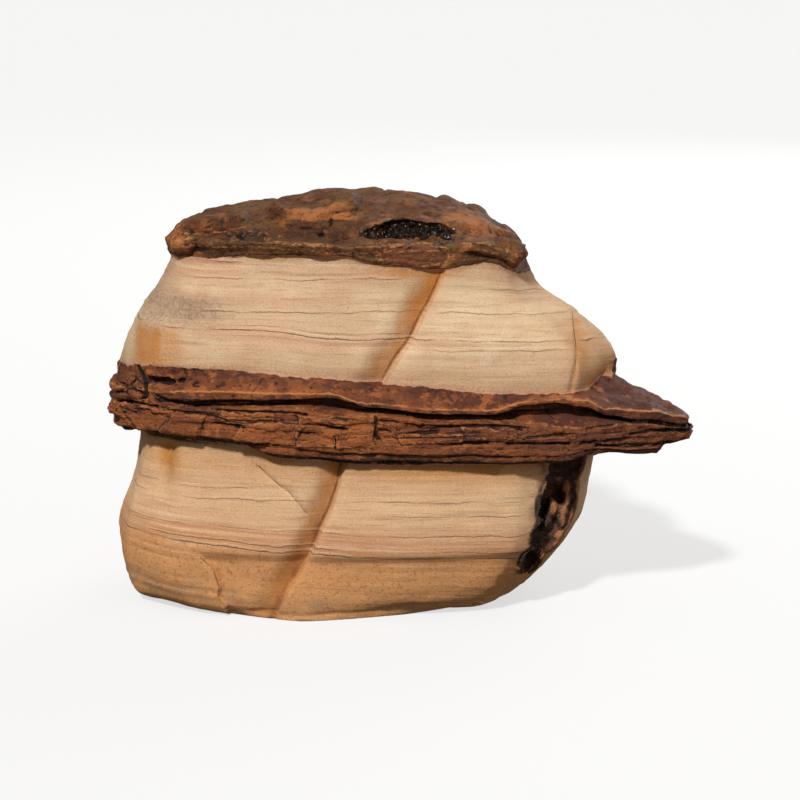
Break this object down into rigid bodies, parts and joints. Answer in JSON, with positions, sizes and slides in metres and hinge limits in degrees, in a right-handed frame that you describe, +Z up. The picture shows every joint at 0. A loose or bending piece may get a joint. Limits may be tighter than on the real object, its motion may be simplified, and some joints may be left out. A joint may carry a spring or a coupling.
{
  "type": "sandstone rock",
  "caption": "Banded sandstone rock with a split ironstone ledge and a dark ironstone cap, standing on a flat foot, for display, aquascaping or scenery.",
  "frame": {"origin": "middle of the rock's box in plan, on its flat foot", "axes": "+Z up, +X along the rock's length towards the ledge's tongue, -Y towards the front"},
  "size_m": [0.198, 0.1018, 0.1396],
  "materials": {
    "sandstone": "matt, sand-grained, with rough brown ironstone in the ledge and the cap"
  },
  "bodies": {
    "root": {"sandstone_rock": "sandstone"}
  },
  "joints": []
}
